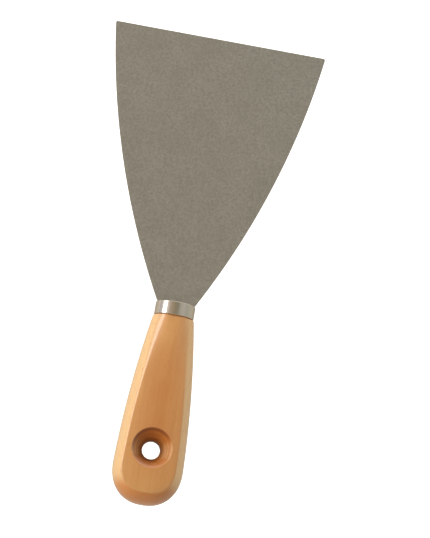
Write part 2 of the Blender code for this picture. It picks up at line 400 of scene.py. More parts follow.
def bright_nickel_plate():
    """Nickel plated over drawn steel and buffed: a warm mirror with hairline scratches."""
    material, tree, shader = new_material("bright_nickel_plate")
    place = add(tree, "ShaderNodeTexCoord").outputs["Object"]
    # Draw marks 0.4 mm apart, running round the ring
    stretched = add(tree, "ShaderNodeMapping", {"Vector": place, "Scale": (60, 2500, 60)})
    marks = add(
        tree, "ShaderNodeTexNoise", {"Vector": stretched.outputs[0], "Scale": 1.0, "Detail": 3.0}
    ).outputs[0]
    # Clouding of the plate, 4 mm across
    cloud = add(
        tree, "ShaderNodeTexNoise", {"Vector": place, "Scale": 240.0, "Detail": 3.0}
    ).outputs[0]
    tone = add(
        tree,
        "ShaderNodeMix",
        {0: cloud, MIX_A: shade("#dad2c6"), MIX_B: shade("#cfc7ba")},
        data_type="RGBA",
    ).outputs[MIX_OUT]
    dull = add(
        tree,
        "ShaderNodeMapRange",
        {"Value": marks, "From Min": 0.3, "From Max": 0.7, "To Min": 0.07, "To Max": 0.16},
    ).outputs[0]
    relief = add(
        tree, "ShaderNodeBump", {"Height": marks, "Strength": 0.1, "Distance": 0.02 * MM}
    ).outputs[0]
    tree.links.new(tone, shader.inputs["Base Color"])
    tree.links.new(dull, shader.inputs["Roughness"])
    tree.links.new(relief, shader.inputs["Normal"])
    shader.inputs["Metallic"].default_value = 1.0
    return material


def varnished_beech():
    """Beech, sanded and dipped in amber varnish: honey wood with short flecks under a gloss."""
    material, tree, shader = new_material("varnished_beech")
    place = add(tree, "ShaderNodeTexCoord").outputs["Object"]
    # Growth layers about 3 mm wide, drawn out along the handle
    along = add(tree, "ShaderNodeMapping", {"Vector": place, "Scale": (300, 16, 300)})
    layers = add(
        tree,
        "ShaderNodeTexNoise",
        {"Vector": along.outputs[0], "Scale": 1.0, "Detail": 4.0, "Distortion": 0.6},
    ).outputs[0]
    # Ray flecks 0.4 mm wide and 2.5 mm long: real ones are half as wide
    fleck_place = add(tree, "ShaderNodeMapping", {"Vector": place, "Scale": (2400, 400, 2400)})
    flecks = add(
        tree, "ShaderNodeTexNoise", {"Vector": fleck_place.outputs[0], "Scale": 1.0, "Detail": 1.0}
    ).outputs[0]
    # Varnish lies thicker in places, 25 mm across, and turns the wood redder there
    pooled = add(
        tree, "ShaderNodeTexNoise", {"Vector": place, "Scale": 40.0, "Detail": 2.0}
    ).outputs[0]
    # Painted shade: the face is darker and redder along its middle, most of all midway along the handle
    spot = add(tree, "ShaderNodeSeparateXYZ", {0: place})
    along_y = spot.outputs["Y"]
    from_front = add(
        tree,
        "ShaderNodeMapRange",
        {"Value": along_y, "From Min": MIDDLE_SHADE_FRONT_Y[0], "From Max": MIDDLE_SHADE_FRONT_Y[1]},
        interpolation_type="SMOOTHSTEP",
    ).outputs[0]
    from_butt = add(
        tree,
        "ShaderNodeMapRange",
        {"Value": along_y, "From Min": MIDDLE_SHADE_BUTT_Y[0], "From Max": MIDDLE_SHADE_BUTT_Y[1]},
        interpolation_type="SMOOTHSTEP",
    ).outputs[0]
    lengthwise = add(
        tree, "ShaderNodeMath", {0: from_front, 1: from_butt}, operation="MULTIPLY"
    ).outputs[0]
    across = add(
        tree, "ShaderNodeMath", {0: spot.outputs["X"]}, operation="ABSOLUTE"
    ).outputs[0]
    from_middle = add(
        tree,
        "ShaderNodeMapRange",
        {"Value": across, "From Min": 0.0, "From Max": MIDDLE_SHADE_HALF, "To Min": 1.0, "To Max": 0.2},
        interpolation_type="SMOOTHSTEP",
    ).outputs[0]
    middle_shade = add(
        tree, "ShaderNodeMath", {0: lengthwise, 1: from_middle}, operation="MULTIPLY"
    ).outputs[0]
    uneven = add(
        tree,
        "ShaderNodeMapRange",
        {"Value": pooled, "From Min": 0.35, "From Max": 0.65, "To Min": -0.2, "To Max": 0.2},
    ).outputs[0]
    # Painted shade along the middle, with the redder pools of varnish
    shade_and_pooling = add(
        tree,
        "ShaderNodeMath",
        {0: middle_shade, 1: 0.8, 2: uneven},
        operation="MULTIPLY_ADD",
        use_clamp=True,
    ).outputs[0]
    honey = add(
        tree,
        "ShaderNodeMix",
        {0: layers, MIX_A: shade("#c9975d"), MIX_B: shade("#b17c43")},
        data_type="RGBA",
    ).outputs[MIX_OUT]
    # The tint that this painted shade and the pooled varnish give
    shade_and_pool_tint = add(
        tree,
        "ShaderNodeMix",
        {0: shade_and_pooling, MIX_A: shade("#ffffff"), MIX_B: shade("#f2ddc8")},
        data_type="RGBA",
    ).outputs[MIX_OUT]
    amber = add(
        tree,
        "ShaderNodeMix",
        {0: 1.0, MIX_A: honey, MIX_B: shade_and_pool_tint},
        data_type="RGBA",
        blend_type="MULTIPLY",
    ).outputs[MIX_OUT]
    # Painted light makes the sides paler; the end grain at the butt is darker and redder, partly from
    # the varnish it drinks and partly painted shade
    facing = add(
        tree, "ShaderNodeSeparateXYZ", {0: add(tree, "ShaderNodeTexCoord").outputs["Normal"]}
    )
    sideways = add(
        tree, "ShaderNodeMath", {0: facing.outputs["X"]}, operation="ABSOLUTE"
    ).outputs[0]
    # Painted light: how far the sides are painted paler
    painted_side_light = add(
        tree,
        "ShaderNodeMapRange",
        {"Value": sideways, "From Min": 0.3, "From Max": 0.8, "To Min": 0.0, "To Max": 0.9},
        interpolation_type="SMOOTHSTEP",
    ).outputs[0]
    endways = add(
        tree, "ShaderNodeMath", {0: facing.outputs["Y"]}, operation="ABSOLUTE"
    ).outputs[0]
    # Partly painted shade, partly end grain: how far the butt end is darker and redder
    end_grain_and_shade = add(
        tree,
        "ShaderNodeMapRange",
        {"Value": endways, "From Min": 0.2, "From Max": 0.6, "To Max": 0.95},
        interpolation_type="SMOOTHSTEP",
    ).outputs[0]
    with_painted_side_light = add(
        tree,
        "ShaderNodeMix",
        {0: painted_side_light, MIX_A: amber, MIX_B: shade("#d6b27f")},
        data_type="RGBA",
    ).outputs[MIX_OUT]
    with_end_grain_and_shade = add(
        tree,
        "ShaderNodeMix",
        {0: end_grain_and_shade, MIX_A: with_painted_side_light, MIX_B: shade("#c07a34")},
        data_type="RGBA",
    ).outputs[MIX_OUT]
    fleck_share = add(
        tree,
        "ShaderNodeMapRange",
        {"Value": flecks, "From Min": 0.6, "From Max": 0.75, "To Min": 0.0, "To Max": 0.4},
    ).outputs[0]
    flecked = add(
        tree,
        "ShaderNodeMix",
        {0: fleck_share, MIX_A: with_end_grain_and_shade, MIX_B: shade("#a9692f")},
        data_type="RGBA",
    ).outputs[MIX_OUT]
    # The hole darkens towards its throat, most of all where it runs straight through: painted shade
    # down the hole, with some scorch from the drill
    from_hole = add(
        tree, "ShaderNodeVectorMath", {0: place, 1: (0.0, HOLE_Y, 0.0)}, operation="SUBTRACT"
    ).outputs[0]
    flat = add(
        tree, "ShaderNodeVectorMath", {0: from_hole, 1: (1.0, 1.0, 0.0)}, operation="MULTIPLY"
    ).outputs[0]
    reach = add(tree, "ShaderNodeVectorMath", {0: flat}, operation="LENGTH").outputs["Value"]
    # Partly painted shade: how dark the hole is painted at each distance from its axis
    scorch_and_shade = add(
        tree,
        "ShaderNodeMapRange",
        {
            "Value": reach,
            "From Min": SCORCH_AND_SHADE_FULL_R,
            "From Max": SCORCH_AND_SHADE_END_R,
            "To Min": 0.92,
            "To Max": 0.25,
        },
    ).outputs[0]
    scorched_and_shaded = add(
        tree, "ShaderNodeMix", {0: scorch_and_shade, MIX_A: flecked, MIX_B: shade("#4a2408")}, data_type="RGBA"
    ).outputs[MIX_OUT]
    # Rings left by the countersink's cutter, 1.1 mm apart: real ones are too fine to show
    wave = add(
        tree, "ShaderNodeMath", {0: reach, 1: math.tau / CUTTER_MARKS}, operation="MULTIPLY"
    ).outputs[0]
    ripple = add(tree, "ShaderNodeMath", {0: wave}, operation="SINE").outputs[0]
    inside = add(
        tree, "ShaderNodeMath", {0: reach, 1: COUNTERSINK_R}, operation="LESS_THAN"
    ).outputs[0]
    rings = add(tree, "ShaderNodeMath", {0: ripple, 1: inside}, operation="MULTIPLY").outputs[0]
    # The cone's bare grain drank more of the varnish
    cone = add(
        tree,
        "ShaderNodeMapRange",
        {
            "Value": reach,
            "From Min": REAMED_FULL_R,
            "From Max": REAMED_END_R,
            "To Min": 0.5,
            "To Max": 0.0,
        },
    ).outputs[0]
    ringed = add(
        tree,
        "ShaderNodeMath",
        {0: rings, 1: 0.25, 2: cone},
        operation="MULTIPLY_ADD",
        use_clamp=True,
    ).outputs[0]
    reamed = add(
        tree,
        "ShaderNodeMix",
        {0: ringed, MIX_A: scorched_and_shaded, MIX_B: shade("#a4602a")},
        data_type="RGBA",
    ).outputs[MIX_OUT]
    # Painted shadow: a dark line inside the rim on the side towards the blade, where the wall faces
    # away from the lamps
    off_rim = add(
        tree, "ShaderNodeMath", {0: reach, 1: RIM_SHADOW_R}, operation="SUBTRACT"
    ).outputs[0]
    from_rim = add(tree, "ShaderNodeMath", {0: off_rim}, operation="ABSOLUTE").outputs[0]
    at_rim = add(
        tree,
        "ShaderNodeMapRange",
        {"Value": from_rim, "From Min": RIM_SHADOW_REACH, "From Max": RIM_SHADOW_CORE, "To Max": 0.75},
    ).outputs[0]
    toward_shadow_side = add(
        tree, "ShaderNodeVectorMath", {0: flat, 1: RIM_SHADOW_SIDE}, operation="DOT_PRODUCT"
    ).outputs["Value"]
    on_shadowed_side = add(
        tree,
        "ShaderNodeMapRange",
        {"Value": toward_shadow_side, "From Min": -0.2 * COUNTERSINK_R, "From Max": 0.6 * COUNTERSINK_R},
        interpolation_type="SMOOTHSTEP",
    ).outputs[0]
    # Painted shadow: how strongly the rim's shaded side is darkened
    rim_shadow = add(
        tree, "ShaderNodeMath", {0: at_rim, 1: on_shadowed_side}, operation="MULTIPLY"
    ).outputs[0]
    with_rim_shadow = add(
        tree, "ShaderNodeMix", {0: rim_shadow, MIX_A: reamed, MIX_B: shade("#6b3010")}, data_type="RGBA"
    ).outputs[MIX_OUT]
    ring_relief = add(
        tree, "ShaderNodeBump", {"Height": rings, "Strength": 1.0, "Distance": 0.015 * MM}
    ).outputs[0]
    grain_relief = add(
        tree,
        "ShaderNodeBump",
        {"Height": layers, "Strength": 0.2, "Distance": 0.05 * MM, "Normal": ring_relief},
    ).outputs[0]
    # A brushed coat flows almost level, with waves 6 mm long
    waves = add(
        tree, "ShaderNodeTexNoise", {"Vector": place, "Scale": 160.0, "Detail": 1.0}
    ).outputs[0]
    coat_relief = add(
        tree,
        "ShaderNodeBump",
        {"Height": waves, "Strength": 0.07, "Distance": 0.1 * MM, "Normal": ring_relief},
    ).outputs[0]
    tree.links.new(with_rim_shadow, shader.inputs["Base Color"])
    tree.links.new(grain_relief, shader.inputs["Normal"])
    tree.links.new(coat_relief, shader.inputs["Coat Normal"])
    shader.inputs["Roughness"].default_value = 0.45
    shader.inputs["Coat Weight"].default_value = 1.0
    shader.inputs["Coat Roughness"].default_value = 0.07
    shader.inputs["Coat IOR"].default_value = 1.5
    return material


def set_epoxy():
    """Two-part epoxy, squeezed out and set: amber, slightly cloudy, with small bubbles."""
    material, tree, shader = new_material("set_epoxy")
    place = add(tree, "ShaderNodeTexCoord").outputs["Object"]
    # Bubbles 0.5 mm across
    bubbles = add(tree, "ShaderNodeTexVoronoi", {"Vector": place, "Scale": 2000.0}).outputs[0]
    cloud = add(
        tree, "ShaderNodeTexNoise", {"Vector": place, "Scale": 300.0, "Detail": 2.0}
    ).outputs[0]
    tone = add(
        tree,
        "ShaderNodeMix",
        {0: cloud, MIX_A: shade("#c9a76a"), MIX_B: shade("#a98549")},
        data_type="RGBA",
    ).outputs[MIX_OUT]
    relief = add(
        tree, "ShaderNodeBump", {"Height": bubbles, "Strength": 0.3, "Distance": 0.05 * MM}
    ).outputs[0]
    tree.links.new(tone, shader.inputs["Base Color"])
    tree.links.new(relief, shader.inputs["Normal"])
    shader.inputs["Roughness"].default_value = 0.35
    return material


def pale_table_top():
    """Matt laminate, light grey to the knife above it, but plain white paper to the camera."""
    material, tree, shader = new_material("pale_laminate")
    shader.inputs["Base Color"].default_value = shade(TABLE_COLOR)
    shader.inputs["Roughness"].default_value = 0.7
    shader.inputs["Emission Color"].default_value = shade("#ffffff")
    seen = add(tree, "ShaderNodeLightPath").outputs["Is Camera Ray"]
    tree.links.new(seen, shader.inputs["Emission Strength"])
    return material


# ---------------------------------------------------------------- blade


def fan_growth():
    """The blade in front of the tang: bowed sides, a thinning grind, broken edges."""
    sizes = (
        "Side radius",
        "Side middle X",
        "Side middle Y",
        "Edge Y",
        "Shoulder Y",
        "Neck end Y",
        "Neck half width",
        "Corner radius",
        "Root half thickness",
        "Edge half thickness",
        "Broken edge",
    )
    tree, given = new_growth("ground_fan", sizes)
    bar = add(
        tree,
        "GeometryNodeMeshCube",
        {"Size": (1, 1, 1), "Vertices X": 41, "Vertices Y": 181, "Vertices Z": 4},
    )
    spot = add(
        tree, "ShaderNodeSeparateXYZ", {0: add(tree, "GeometryNodeInputPosition").outputs[0]}
    )
    # The top and bottom faces stop short of the rim by the broken edge
    height = add(tree, "ShaderNodeMath", {0: spot.outputs["Z"]}, operation="ABSOLUTE").outputs[0]
    on_face = add(
        tree, "ShaderNodeMath", {0: height, 1: FACE_ABOVE}, operation="GREATER_THAN"
    ).outputs[0]
    shy = add(
        tree, "ShaderNodeMath", {0: on_face, 1: given["Broken edge"]}, operation="MULTIPLY"
    ).outputs[0]
    # Rows crowd together at both ends, where the corners and the shoulders are
    share = add(tree, "ShaderNodeMath", {0: spot.outputs["Y"], 1: 0.5}, operation="ADD").outputs[0]
    turn = add(tree, "ShaderNodeMath", {0: share, 1: math.tau}, operation="MULTIPLY").outputs[0]
    wave = add(tree, "ShaderNodeMath", {0: turn}, operation="SINE").outputs[0]
    pull = add(
        tree,
        "ShaderNodeMath",
        {0: wave, 1: -ROW_CROWDING / math.tau, 2: share},
        operation="MULTIPLY_ADD",
    ).outputs[0]
    tip = add(
        tree, "ShaderNodeMath", {0: given["Edge Y"], 1: shy}, operation="SUBTRACT"
    ).outputs[0]
    y = add(
        tree,
        "ShaderNodeMapRange",
        {"Value": pull, "To Min": given["Neck end Y"], "To Max": tip},
    ).outputs[0]
    # Half the width from the circle that bows the side
    up = add(
        tree, "ShaderNodeMath", {0: y, 1: given["Side middle Y"]}, operation="SUBTRACT"
    ).outputs[0]
    up_squared = add(tree, "ShaderNodeMath", {0: up, 1: 2.0}, operation="POWER").outputs[0]
    r_squared = add(
        tree, "ShaderNodeMath", {0: given["Side radius"], 1: 2.0}, operation="POWER"
    ).outputs[0]
    out_squared = add(
        tree, "ShaderNodeMath", {0: r_squared, 1: up_squared}, operation="SUBTRACT"
    ).outputs[0]
    out = add(tree, "ShaderNodeMath", {0: out_squared}, operation="SQRT").outputs[0]
    bowed = add(
        tree, "ShaderNodeMath", {0: out, 1: given["Side middle X"]}, operation="ADD"
    ).outputs[0]
    # The rounded corner at each end of the working edge
    corner_start = add(
        tree, "ShaderNodeMath", {0: tip, 1: given["Corner radius"]}, operation="SUBTRACT"
    ).outputs[0]
    past = add(tree, "ShaderNodeMath", {0: y, 1: corner_start}, operation="SUBTRACT").outputs[0]
    into = add(tree, "ShaderNodeMath", {0: past, 1: 0.0}, operation="MAXIMUM").outputs[0]
    into_squared = add(tree, "ShaderNodeMath", {0: into, 1: 2.0}, operation="POWER").outputs[0]
    corner_squared = add(
        tree, "ShaderNodeMath", {0: given["Corner radius"], 1: 2.0}, operation="POWER"
    ).outputs[0]
    left = add(
        tree, "ShaderNodeMath", {0: corner_squared, 1: into_squared}, operation="SUBTRACT"
    ).outputs[0]
    left_safe = add(tree, "ShaderNodeMath", {0: left, 1: 0.0}, operation="MAXIMUM").outputs[0]
    stands = add(tree, "ShaderNodeMath", {0: left_safe}, operation="SQRT").outputs[0]
    lost = add(
        tree, "ShaderNodeMath", {0: given["Corner radius"], 1: stands}, operation="SUBTRACT"
    ).outputs[0]
    fan = add(tree, "ShaderNodeMath", {0: bowed, 1: lost}, operation="SUBTRACT").outputs[0]
    in_neck = add(
        tree, "ShaderNodeMath", {0: y, 1: given["Shoulder Y"]}, operation="LESS_THAN"
    ).outputs[0]
    half = add(
        tree, "ShaderNodeMix", {0: in_neck, 2: fan, 3: given["Neck half width"]}, data_type="FLOAT"
    ).outputs[0]
    half_shy = add(tree, "ShaderNodeMath", {0: half, 1: shy}, operation="SUBTRACT").outputs[0]
    doubled = add(
        tree, "ShaderNodeMath", {0: spot.outputs["X"], 1: 2.0}, operation="MULTIPLY"
    ).outputs[0]
    x = add(tree, "ShaderNodeMath", {0: doubled, 1: half_shy}, operation="MULTIPLY").outputs[0]
    # The grind thins the blade evenly from the shoulder to the edge
    deep = add(
        tree,
        "ShaderNodeMapRange",
        {
            "Value": y,
            "From Min": given["Shoulder Y"],
            "From Max": given["Edge Y"],
            "To Min": given["Root half thickness"],
            "To Max": given["Edge half thickness"],
        },
    ).outputs[0]
    off_face = add(tree, "ShaderNodeMath", {0: 1.0, 1: on_face}, operation="SUBTRACT").outputs[0]
    step = add(
        tree, "ShaderNodeMath", {0: off_face, 1: given["Broken edge"]}, operation="MULTIPLY"
    ).outputs[0]
    level = add(tree, "ShaderNodeMath", {0: deep, 1: step}, operation="SUBTRACT").outputs[0]
    sign = add(tree, "ShaderNodeMath", {0: spot.outputs["Z"]}, operation="SIGN").outputs[0]
    z = add(tree, "ShaderNodeMath", {0: sign, 1: level}, operation="MULTIPLY").outputs[0]
    put = add(tree, "ShaderNodeCombineXYZ", {0: x, 1: y, 2: z}).outputs[0]
    shaped = add(tree, "GeometryNodeSetPosition", {"Geometry": bar.outputs[0], "Position": put})
    close_growth(tree, shaped.outputs[0], given["Material"])
    return tree


def make_blade(steel):
    """The blade and its tang, as one piece. The real blade bends from the ferrule's mouth."""
    sizes = {
        "Side radius": SIDE_R,
        "Side middle X": EDGE_WIDTH / 2 - SIDE_R * math.cos(SIDE_LEAN),
        "Side middle Y": EDGE_Y + SIDE_R * math.sin(SIDE_LEAN),
        "Edge Y": EDGE_Y,
        "Shoulder Y": SHOULDER_Y,
        "Neck end Y": TANG_START_Y,
        "Neck half width": NECK_WIDTH / 2,
        "Corner radius": EDGE_CORNER_R,
        "Root half thickness": ROOT_THICKNESS / 2,
        "Edge half thickness": EDGE_THICKNESS / 2,
        "Broken edge": BROKEN_EDGE,
    }
    blade = grow("steel_blade", fan_growth(), sizes, steel)
    start = (TANG_START_Y + TANG_OVERLAP, TANG_WIDTH / 2)
    end = (TANG_END_Y, TANG_TIP_WIDTH / 2)
    tang = tapered_block("tang", start, end, ROOT_THICKNESS * TANG_THINNING)
    combine(blade, tang, "UNION")
    finish_surface(blade, steel, sharp_degrees=20)
    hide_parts("blade")
    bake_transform(blade)


# ---------------------------------------------------------------- ferrule


def ring_growth():
    """A drawn ring: a round-edged strip swept round an oval, with its front edge turned in."""
    sizes = ("Radius", "Oval", "Wall", "Length", "Edge radius", "Front Y", "Lip radius")
    tree, given = new_growth("drawn_ring", sizes)
    middle = add(
        tree,
        "ShaderNodeMath",
        {0: given["Wall"], 1: -0.5, 2: given["Radius"]},
        operation="MULTIPLY_ADD",
    ).outputs[0]
    hoop = add(
        tree, "GeometryNodeCurvePrimitiveCircle", {"Resolution": 160, "Radius": middle}
    ).outputs[0]
    strip = add(
        tree,
        "GeometryNodeCurvePrimitiveQuadrilateral",
        {"Width": given["Wall"], "Height": given["Length"]},
    ).outputs[0]
    rounded = add(
        tree,
        "GeometryNodeFilletCurve",
        {"Curve": strip, "Count": 4, "Radius": given["Edge radius"]},
        mode="POLY",
    ).outputs[0]
    fine = add(
        tree, "GeometryNodeResampleCurve", {"Curve": rounded, "Count": 96}
    ).outputs[0]
    swept = add(
        tree, "GeometryNodeCurveToMesh", {"Curve": hoop, "Profile Curve": fine}
    ).outputs[0]
    spot = add(
        tree, "ShaderNodeSeparateXYZ", {0: add(tree, "GeometryNodeInputPosition").outputs[0]}
    )
    # The hoop's axis is Z here; it is laid along Y with its front at the front
    half = add(
        tree, "ShaderNodeMath", {0: given["Length"], 1: 0.5}, operation="MULTIPLY"
    ).outputs[0]
    behind = add(
        tree, "ShaderNodeMath", {0: spot.outputs["Z"], 1: half}, operation="SUBTRACT"
    ).outputs[0]
    y = add(
        tree, "ShaderNodeMath", {0: behind, 1: given["Front Y"]}, operation="ADD"
    ).outputs[0]
    past = add(
        tree, "ShaderNodeMath", {0: behind, 1: given["Lip radius"]}, operation="ADD"
    ).outputs[0]
    into = add(tree, "ShaderNodeMath", {0: past, 1: 0.0}, operation="MAXIMUM").outputs[0]
    into_squared = add(tree, "ShaderNodeMath", {0: into, 1: 2.0}, operation="POWER").outputs[0]
    lip_squared = add(
        tree, "ShaderNodeMath", {0: given["Lip radius"], 1: 2.0}, operation="POWER"
    ).outputs[0]
    left = add(
        tree, "ShaderNodeMath", {0: lip_squared, 1: into_squared}, operation="SUBTRACT"
    ).outputs[0]
    left_safe = add(tree, "ShaderNodeMath", {0: left, 1: 0.0}, operation="MAXIMUM").outputs[0]
    stands = add(tree, "ShaderNodeMath", {0: left_safe}, operation="SQRT").outputs[0]
    lost = add(
        tree, "ShaderNodeMath", {0: given["Lip radius"], 1: stands}, operation="SUBTRACT"
    ).outputs[0]
    turned_in = add(
        tree, "ShaderNodeMath", {0: lost, 1: given["Radius"]}, operation="DIVIDE"
    ).outputs[0]
    kept = add(tree, "ShaderNodeMath", {0: 1.0, 1: turned_in}, operation="SUBTRACT").outputs[0]
    x = add(
        tree, "ShaderNodeMath", {0: spot.outputs["X"], 1: kept}, operation="MULTIPLY"
    ).outputs[0]
    flat = add(tree, "ShaderNodeMath", {0: kept, 1: given["Oval"]}, operation="MULTIPLY").outputs[0]
    z = add(
        tree, "ShaderNodeMath", {0: spot.outputs["Y"], 1: flat}, operation="MULTIPLY"
    ).outputs[0]
    put = add(tree, "ShaderNodeCombineXYZ", {0: x, 1: y, 2: z}).outputs[0]
    pressed = add(tree, "GeometryNodeSetPosition", {"Geometry": swept, "Position": put})
    close_growth(tree, pressed.outputs[0], given["Material"])
    return tree


def make_ferrule(nickel):
    """The ring on the handle's spigot."""
    sizes = {
        "Radius": RING_WIDTH / 2,
        "Oval": RING_DEPTH / RING_WIDTH,
        "Wall": RING_WALL,
        "Length": RING_FRONT_Y - RING_REAR_Y,
        "Edge radius": RING_EDGE_R,
        "Front Y": RING_FRONT_Y,
        "Lip radius": RING_LIP_R,
    }
    ring = grow("nickel_ferrule", ring_growth(), sizes, nickel)
    bm = bmesh.new()
    bm.from_mesh(ring.data)
    bmesh.ops.recalc_face_normals(bm, faces=bm.faces)
    bm.to_mesh(ring.data)
    bm.free()
    finish_surface(ring, nickel, sharp_degrees=60)
    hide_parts("ferrule")
    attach(ring, "handle")
    return ring


# ---------------------------------------------------------------- handle


def side_x(y):
    """Half the handle's width on its bowed side."""
    bow = math.sqrt(WOOD_SIDE_R**2 - (y - WOOD_SIDE_MIDDLE_Y) ** 2)
    front = math.sqrt(WOOD_SIDE_R**2 - (WOOD_FRONT_Y - WOOD_SIDE_MIDDLE_Y) ** 2)
    return WOOD_FRONT_WIDTH / 2 + bow - front


def outline_point(t):
    """The right side of the plan: t runs 0 to 1 along the side, and 1 to 2 round the butt."""
    if t <= 1.0:
        y = WOOD_FRONT_Y + (BUTT_START_Y - WOOD_FRONT_Y) * t
        return Vector((side_x(y), y))
    turn = min(t - 1.0, 1.0) * math.pi / 2
    y = BUTT_START_Y + (BUTT_Y - BUTT_START_Y) * math.sin(turn) ** (2 / BUTT_POWER)
    return Vector((side_x(y) * max(0.0, math.cos(turn)) ** (2 / BUTT_POWER), y))


def inward(t):
    """The direction into the plan from the outline, square to it."""
    if t >= 2.0:
        return Vector((0.0, 1.0))
    if t <= 0.0:
        return Vector((-1.0, 0.0))
    along = outline_point(min(t + 0.001, 2.0)) - outline_point(t - 0.001)
    return Vector((along.y, -along.x)).normalized()


def swelling(y):
    """How far the section has grown from its size at the front to its size at the belly."""
    reach = np.clip((WOOD_FRONT_Y - y) / (WOOD_FRONT_Y - WOOD_DEEPEST_Y), 0.0, 1.0)
    return 1.0 - (1.0 - reach) ** 2


def section_sizes(y):
    """Height of the arris, crown of the face, inset of the arris and radius of the flank."""
    share = swelling(y)
    crown = mix(CROWN_FRONT, CROWN, share)
    arris = mix(WOOD_FRONT_DEPTH, WOOD_DEPTH, share) / 2 - crown
    inset = mix(ARRIS_INSET_FRONT, ARRIS_INSET, share)
    return arris, crown, inset, (inset**2 + arris**2) / (2 * inset)


SIDE_TURNS = [i / SIDE_LOOPS for i in range(SIDE_LOOPS)]
SIDE_TURNS += [1.0 + i / BUTT_LOOPS for i in range(BUTT_LOOPS + 1)]
OUTLINE = np.array([outline_point(i / OUTLINE_STEPS) for i in range(2 * OUTLINE_STEPS + 1)])
ARRIS = []
for turn_now in SIDE_TURNS:
    edge_now = outline_point(turn_now)
    arris_now = edge_now + inward(turn_now) * float(section_sizes(edge_now.y)[2])
    ARRIS.append((max(0.0, arris_now.x), arris_now.y))
ARRIS = np.array(ARRIS)


def wood_height(x, y, inset=None):
    """Height of the handle's surface over its middle plane, with the arris rounded over."""
    x, y = np.abs(np.asarray(x, float)), np.asarray(y, float)
    if inset is None:
        inset = np.array(
            [np.hypot(OUTLINE[:, 0] - a, OUTLINE[:, 1] - b).min() for a, b in zip(x, y)]
        )
    arris, crown, _, radius = section_sizes(y)
    flank = np.sqrt(np.maximum(0.0, radius**2 - (radius - np.minimum(inset, radius)) ** 2))
    arris_x = np.interp(-y, -ARRIS[:, 1], ARRIS[:, 0])
    full = np.minimum(1.0, arris_x / (WOOD_FRONT_WIDTH / 2 - ARRIS_INSET_FRONT))
    off = np.minimum((x / np.maximum(arris_x, NARROW_FACE)) ** 2, CROWN_DROP)
    face = arris + crown * full * (1.0 - off)
    softness = mix(ARRIS_SOFTNESS_FRONT, ARRIS_SOFTNESS, swelling(y))
    overlap = np.maximum(softness - np.abs(flank - face), 0.0)
    return np.minimum(flank, face) - overlap**2 / (4 * softness)


def handle_ring(t):
    """One closed loop round the handle: flank, top face, flank, bottom face."""
    edge, across = outline_point(t), inward(t)
    arris, _, _, radius = (float(size) for size in section_sizes(edge.y))
    top = math.asin(min(1.0, arris / radius))
    insets = [radius * (1 - math.cos(top * i / FLANK_STEPS)) for i in range(FLANK_STEPS + 1)]
    flank = [edge + across * step for step in insets]
    arris_x, arris_y = max(0.0, flank[-1].x), flank[-1].y
    face = [(arris_x * (1.0 - 2.0 * i / FACE_STEPS), arris_y) for i in range(1, FACE_STEPS)]
    flank_z = wood_height([p.x for p in flank], [p.y for p in flank], np.array(insets))
    face_z = wood_height([p[0] for p in face], [p[1] for p in face])
    right = [(max(0.0, p.x), p.y, z) for p, z in zip(flank, flank_z)]
    upper = right + [(p[0], p[1], z) for p, z in zip(face, face_z)]
    upper += [(-x, y, z) for x, y, z in reversed(right)]
    return np.array(upper + [(x, y, -z) for x, y, z in reversed(upper[1:-1])])


def oval_ring(y, half_width, half_depth):
    """The handle's front loop, drawn as an oval at another size."""
    loop = handle_ring(0.0)[:, (0, 2)]
    loop /= np.linalg.norm(loop, axis=1)[:, None]
    return np.column_stack((loop[:, 0] * half_width, np.full(len(loop), y), loop[:, 1] * half_depth))


def hole_cutter():
    """Drill and countersinks as one turned shape, whose rims follow the crowned faces."""
    face = float(wood_height([0.0], [HOLE_Y])[0])
    straight = HOLE_STRAIGHT / 2
    lean = math.atan((COUNTERSINK_R - THROAT_R) / (face - THROAT_HEIGHT))
    middle_z = face - RIM_R * math.cos(RIM_SLOPE)
    climb = (middle_z - THROAT_HEIGHT + RIM_R * math.sin(lean)) / math.cos(lean)
    middle_r = THROAT_R + climb * math.sin(lean) + RIM_R * math.cos(lean)
    rim_start, rim_end = math.pi - lean, math.pi / 2 + RIM_SLOPE
    rim = arc((middle_r, middle_z), RIM_R, rim_start, rim_end, RIM_STEPS)
    end = (rim[-1][0] + RIM_RUNOUT, rim[-1][1] + RIM_RUNOUT * math.tan(RIM_SLOPE))
    bend_r = mix(HOLE_R, THROAT_R, THROAT_BEND_OUT)
    bend_z = mix(straight, THROAT_HEIGHT, THROAT_BEND_UP)
    upper = [(HOLE_R, straight * HOLE_EVEN), (HOLE_R + HOLE_WIDENING, straight)]
    upper += [(bend_r, bend_z), (THROAT_R, THROAT_HEIGHT)]
    for i in range(1, DISH_STEPS):
        share = i / DISH_STEPS
        out = 4 * DISH * share * (1 - share)
        r, z = mix(THROAT_R, rim[0][0], share), mix(THROAT_HEIGHT, rim[0][1], share)
        upper += [(r + out * math.cos(lean), z - out * math.sin(lean))]
    upper += rim + [end, (end[0], face + CUTTER_ABOVE), (0.0, face + CUTTER_ABOVE)]
    profile = [(r, -z) for r, z in reversed(upper)] + upper
    bm = bmesh.new()
    loop = [bm.verts.new((r, 0.0, z)) for r, z in profile]
    edges = [bm.edges.new(pair) for pair in zip(loop, loop[1:])]
    bmesh.ops.spin(
        bm,
        geom=loop + edges,
        axis=(0, 0, 1),
        cent=(0, 0, 0),
        angle=math.tau,
        steps=CUTTER_TURNS,
        use_merge=True,
    )
    bmesh.ops.remove_doubles(bm, verts=bm.verts, dist=WELD)
    bmesh.ops.recalc_face_normals(bm, faces=bm.faces)
    for vert in bm.verts:
        vert.co.y += HOLE_Y
    heights = wood_height([v.co.x for v in bm.verts], [v.co.y for v in bm.verts])
    for vert, height in zip(bm.verts, heights):
        vert.co.z *= float(height) / face
    mesh = bpy.data.meshes.new("drill")
    bm.to_mesh(mesh)
    bm.free()
    return show("drill", mesh)


